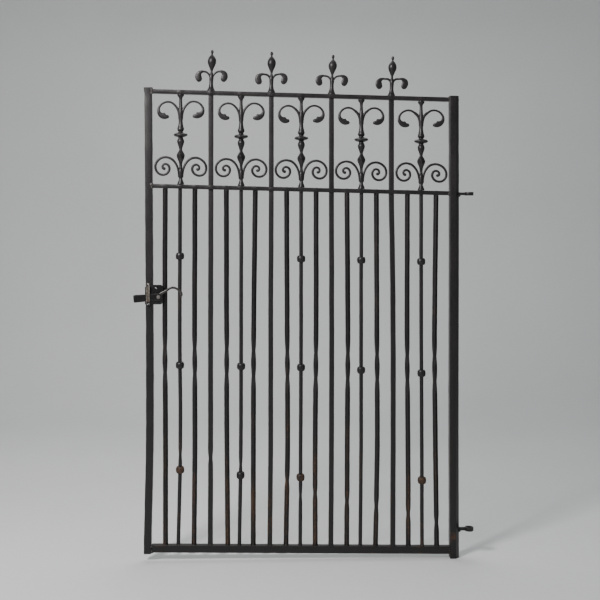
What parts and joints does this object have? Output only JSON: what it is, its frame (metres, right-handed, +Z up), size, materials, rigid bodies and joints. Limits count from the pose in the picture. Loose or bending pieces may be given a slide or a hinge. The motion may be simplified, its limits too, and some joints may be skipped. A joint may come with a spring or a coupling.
{
  "type": "garden gate",
  "caption": "Wrought iron side gate with round, square and twisted bars, ball knops, scrolled panels, spear finials, hinge eyes and a lift latch",
  "frame": {"origin": "on the hinge axis, at the underside of the lower hinge eye, in the middle of its hole", "axes": "+Z up along the hinge axis, -X across the gate towards the latch, +Y from the front, which carries the latch lever, to the back"},
  "size_m": [1.1476, 0.0498, 1.7182],
  "materials": {
    "black_paint": "old black paint, satin, brushed on over forged iron, with rust showing through in places",
    "rusty_paint": "thin black paint worn to brown rust",
    "latch_black": "semi-gloss black enamel, rubbed at the edges",
    "worn_steel": "paint worn off to bright steel",
    "rusty_strap": "bare iron with light brown rust"
  },
  "bodies": {
    "leaf": {"latch_stile": "black_paint", "hinge_stile": "black_paint", "top_rail": "black_paint", "middle_rail": "black_paint", "bottom_rail": "black_paint", "through_bar_1": "black_paint", "through_bar_2": "black_paint", "through_bar_3": "black_paint", "through_bar_4": "black_paint", "ball_bar_1": "rusty_paint", "ball_bar_2": "rusty_paint", "ball_bar_3": "rusty_paint", "ball_bar_4": "rusty_paint", "ball_bar_5": "rusty_paint", "twisted_bar_1": "rusty_paint", "twisted_bar_2": "rusty_paint", "twisted_bar_3": "rusty_paint", "twisted_bar_4": "rusty_paint", "twisted_bar_5": "rusty_paint", "twisted_bar_6": "rusty_paint", "twisted_bar_7": "rusty_paint", "twisted_bar_8": "rusty_paint", "twisted_bar_9": "rusty_paint", "twisted_bar_10": "rusty_paint", "knob_1_upper": "rusty_paint", "knob_1_middle": "rusty_paint", "knob_1_lower": "rusty_paint", "knob_2_middle": "rusty_paint", "knob_2_lower": "rusty_paint", "knob_3_upper": "rusty_paint", "knob_3_middle": "rusty_paint", "knob_3_lower": "rusty_paint", "knob_4_upper": "rusty_paint", "knob_4_middle": "rusty_paint", "knob_5_upper": "rusty_paint", "knob_5_middle": "rusty_paint", "knob_5_lower": "rusty_paint", "finial_1": "black_paint", "finial_2": "black_paint", "finial_3": "black_paint", "finial_4": "black_paint", "baluster_1": "black_paint", "baluster_2": "black_paint", "baluster_3": "black_paint", "baluster_4": "black_paint", "baluster_5": "black_paint", "lower_scrolls_1": "black_paint", "lower_scrolls_2": "black_paint", "lower_scrolls_3": "black_paint", "lower_scrolls_4": "black_paint", "lower_scrolls_5": "black_paint", "hinge_eye_lower": "rusty_paint", "hinge_eye_upper": "rusty_paint", "latch_plate": "latch_black", "pivot_bolt": "worn_steel", "pivot_nut": "rusty_strap", "keeper_strap": "rusty_strap", "keeper_screw_upper": "rusty_strap", "keeper_screw_lower": "rusty_strap"},
    "latch": {"latch_lever": "latch_black"}
  },
  "joints": [
    {"name": "latch_lift", "type": "hinge", "parent": "leaf", "child": "latch", "pos_m": [-1.04865, 0, 0.79767], "axis": [0, 1, 0], "range_deg": [0, 28]}
  ]
}
